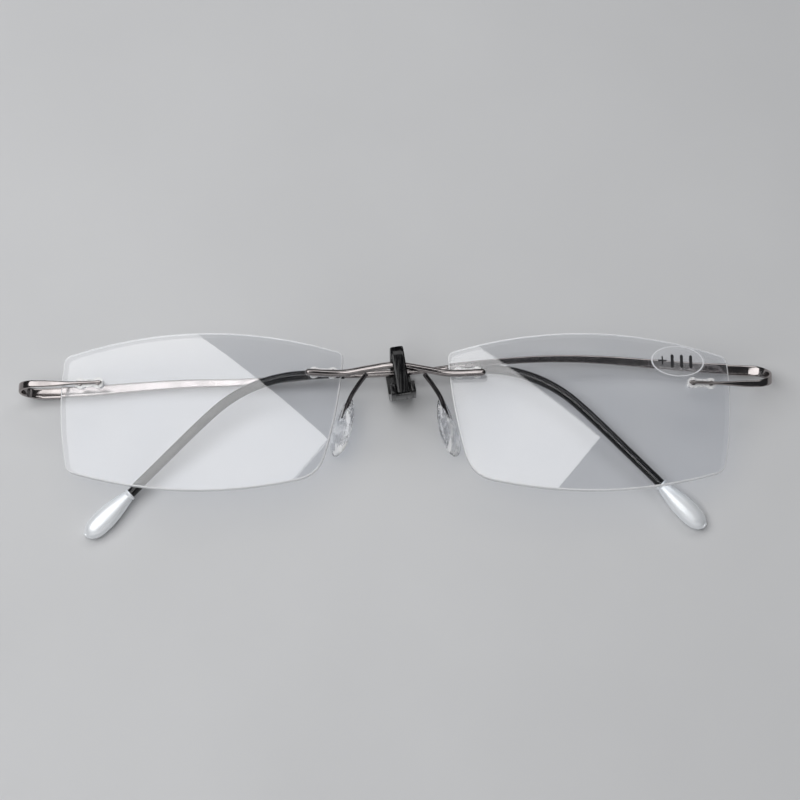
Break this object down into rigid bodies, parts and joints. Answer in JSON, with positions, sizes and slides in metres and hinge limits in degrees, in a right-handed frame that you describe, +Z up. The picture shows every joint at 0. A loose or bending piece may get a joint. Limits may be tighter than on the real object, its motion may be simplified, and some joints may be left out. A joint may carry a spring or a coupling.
{
  "type": "rimless eyeglasses",
  "caption": "Hingeless rimless reading glasses, folded behind two drilled curved lenses and held shut by a small moulded strap clip, lying on their back",
  "frame": {"origin": "centre of the bounding box's bottom face, on the surface the folded glasses lie on", "axes": "+Z up from that surface; +X across the glasses; +Y towards the upper edge of the lenses, which is tipped 7 degrees up"},
  "size_m": [0.1402, 0.037, 0.0134],
  "materials": {
    "gunmetal_wire": "gunmetal plated memory titanium, satin to bright, slightly warm",
    "dark_wire": "darker plated round wire, semi-gloss",
    "lens_resin": "clear optical resin, polished faces, fine ground edge",
    "clear_nylon": "clear moulded nylon",
    "silicone": "clear soft silicone, glossy, slightly milky",
    "black_sleeve": "gloss black tube",
    "pearl_tip": "pearl white with a cool sheen",
    "black_clip": "black moulded plastic, semi-gloss",
    "sticker_film": "thin clear film with a plain printed ring"
  },
  "bodies": {
    "front": {"bridge": "gunmetal_wire", "left_lens": "lens_resin", "right_lens": "lens_resin", "left_nasal_bushing": "clear_nylon", "right_nasal_bushing": "clear_nylon", "left_temporal_bushing": "clear_nylon", "right_temporal_bushing": "clear_nylon", "left_pad_arm": "dark_wire", "right_pad_arm": "dark_wire", "left_endpiece": "gunmetal_wire", "right_endpiece": "gunmetal_wire", "power_sticker": "sticker_film"},
    "left_temple": {"left_flexure": "gunmetal_wire", "left_temple_blade": "gunmetal_wire", "left_ear_sleeve": "black_sleeve", "left_temple_tip": "pearl_tip"},
    "right_temple": {"right_flexure": "gunmetal_wire", "right_temple_blade": "gunmetal_wire", "right_ear_sleeve": "black_sleeve", "right_temple_tip": "pearl_tip"},
    "left_pad": {"left_nose_pad": "silicone"},
    "right_pad": {"right_nose_pad": "silicone"},
    "clip": {"clip_base": "black_clip"},
    "clip_strap": {"clip_strap": "black_clip"}
  },
  "joints": [
    {"name": "left_temple_fold", "type": "hinge", "parent": "front", "child": "left_temple", "pos_m": [-0.06651, 0.00973, 0.00485], "axis": [0, 0.9925, 0.1219], "range_deg": [0, 95], "deforming": ["left_flexure"]},
    {"name": "right_temple_fold", "type": "hinge", "parent": "front", "child": "right_temple", "pos_m": [0.06649, 0.00973, 0.00485], "axis": [0, -0.9925, -0.1219], "range_deg": [0, 95], "deforming": ["right_flexure"]},
    {"name": "clip_pull_off", "type": "slide", "parent": "front", "child": "clip", "axis": [0.1564, -0.9877, 0], "range_m": [0, 0.02]},
    {"name": "clip_strap_open", "type": "hinge", "parent": "clip", "child": "clip_strap", "pos_m": [0.00023, 0.01436, 0.00065], "axis": [-0.9877, -0.1564, 0], "range_deg": [0, 110], "deforming": ["clip_strap"]},
    {"name": "left_pad_rock", "type": "hinge", "parent": "front", "child": "left_pad", "pos_m": [-0.00971, 0.00368, 0.004], "axis": [0.4851, -0.2256, 0.8448], "range_deg": [-6, 6]},
    {"name": "right_pad_rock", "type": "hinge", "parent": "front", "child": "right_pad", "pos_m": [0.00969, 0.00368, 0.004], "axis": [-0.4851, -0.2256, 0.8448], "range_deg": [-6, 6]}
  ]
}
